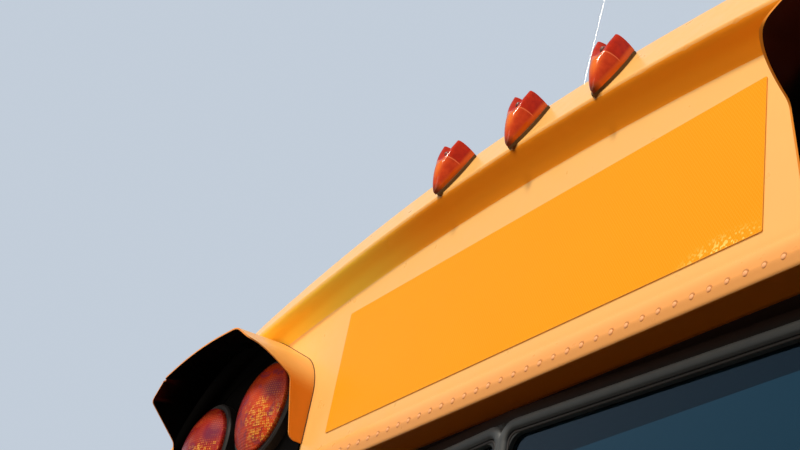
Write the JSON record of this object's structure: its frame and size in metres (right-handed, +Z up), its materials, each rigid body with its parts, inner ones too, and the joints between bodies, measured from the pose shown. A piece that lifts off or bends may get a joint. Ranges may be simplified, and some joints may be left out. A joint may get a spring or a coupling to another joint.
{
  "type": "school bus front cap and windscreen section",
  "caption": "Upper front section of a school bus body: roof cap with blank sign, marker lamps, hooded warning lamps and two-pane windscreen.",
  "frame": {"origin": "on the floor under the middle of the section's box", "axes": "the front faces -Y, +X is to the right of someone who looks at the front, +Z is up"},
  "size_m": [2.472, 0.6898, 2.0105],
  "materials": {
    "yellow_paint": "school-bus yellow gloss enamel",
    "inner_steel": "pale grey enamel on the frame members",
    "reflective_sheet": "prismatic retro-reflective sheeting, blank",
    "marker_amber": "deep amber moulded lens",
    "pad_rubber": "matt brown-black rubber",
    "black_paint": "matt black enamel",
    "amber_lens": "amber prismatic lens",
    "red_lens": "red prismatic lens",
    "black_rubber": "matt black rubber",
    "gasket_rubber": "weathered grey-black rubber",
    "window_glass": "clear, slightly green",
    "stainless": "polished spring steel"
  },
  "bodies": {
    "body": {"aerial_base": "black_rubber", "aerial_whip": "stainless", "amber_lamp_lens_left": "amber_lens", "amber_lamp_lens_right": "amber_lens", "amber_lamp_ring_left": "black_rubber", "amber_lamp_ring_right": "black_rubber", "centre_post": "inner_steel", "corner_pillar_left": "yellow_paint", "corner_pillar_right": "yellow_paint", "cowl_sill": "yellow_paint", "front_cap": "yellow_paint", "header_rail": "yellow_paint", "lamp_plate_left": "black_paint", "lamp_plate_right": "black_paint", "marker_lens_centre": "marker_amber", "marker_lens_left": "marker_amber", "marker_lens_right": "marker_amber", "marker_pad_centre": "pad_rubber", "marker_pad_left": "pad_rubber", "marker_pad_right": "pad_rubber", "red_lamp_lens_left": "red_lens", "red_lamp_lens_right": "red_lens", "red_lamp_ring_left": "black_rubber", "red_lamp_ring_right": "black_rubber", "roof_bow": "inner_steel", "roof_panel": "yellow_paint", "side_panel_left": "yellow_paint", "side_panel_right": "yellow_paint", "side_window_frame_left": "gasket_rubber", "side_window_frame_right": "gasket_rubber", "side_window_glass_left": "window_glass", "side_window_glass_right": "window_glass", "sign_panel": "reflective_sheet", "warning_hood_left": "yellow_paint", "warning_hood_right": "yellow_paint", "windscreen_gasket_left": "gasket_rubber", "windscreen_gasket_right": "gasket_rubber", "windscreen_glass_left": "window_glass", "windscreen_glass_right": "window_glass"},
    "wiper_left": {"wiper_arm_left": "black_paint", "wiper_blade_left": "black_paint"},
    "wiper_right": {"wiper_arm_right": "black_paint", "wiper_blade_right": "black_paint"}
  },
  "joints": [
    {"name": "wiper_left_sweep", "type": "hinge", "parent": "body", "child": "wiper_left", "pos_m": [-0.19, -0.18538, 0.084], "axis": [0.0506, 0.9987, 0], "range_deg": [0, 80]},
    {"name": "wiper_right_sweep", "type": "hinge", "parent": "body", "child": "wiper_right", "pos_m": [0.19, -0.18538, 0.084], "axis": [0.0506, -0.9987, 0], "range_deg": [0, 80]}
  ]
}
